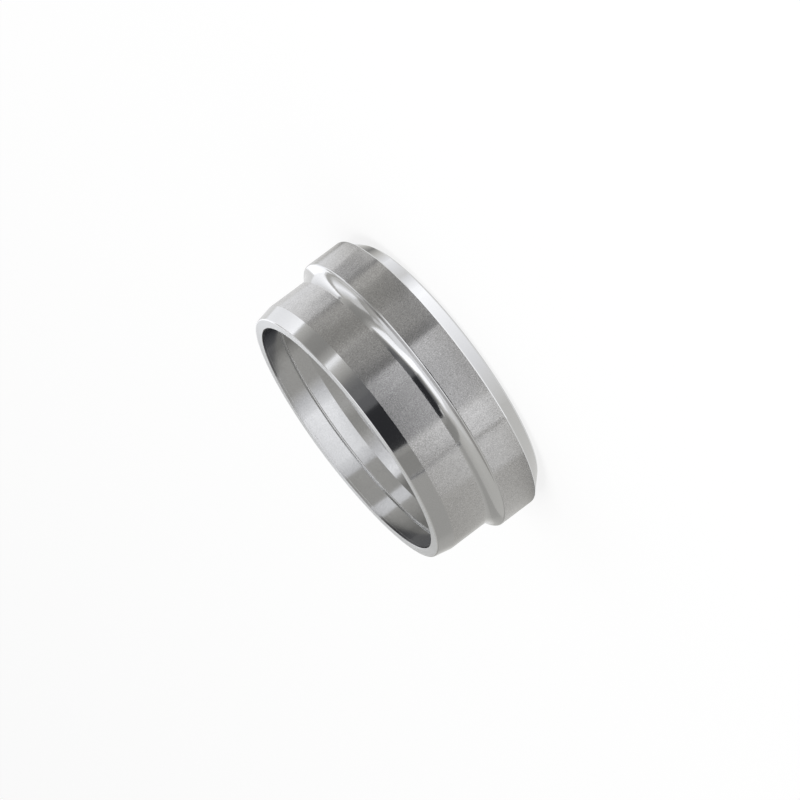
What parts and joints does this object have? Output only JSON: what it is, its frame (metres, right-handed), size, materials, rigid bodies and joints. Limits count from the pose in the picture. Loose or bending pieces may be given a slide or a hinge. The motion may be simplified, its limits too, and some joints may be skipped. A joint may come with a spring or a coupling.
{
  "type": "compression ring",
  "caption": "Turned steel compression ring for a cone tube fitting, with a tapered nose, a cutting lip in the bore, a hollow shoulder and a wide band with a bevelled rear.",
  "frame": {"origin": "centre of the rear face, on the ring's axis, at the bottom of the ring", "axes": "+Z runs along the ring's axis from the rear face to the nose; X and Y lie in the rear face, and no direction in it is special"},
  "size_m": [0.0264, 0.0264, 0.0105],
  "materials": {
    "turned_steel": "turned stainless steel, satin on the band and nose, bright on the cones and the shoulder"
  },
  "bodies": {
    "root": {"compression_ring": "turned_steel"}
  },
  "joints": []
}
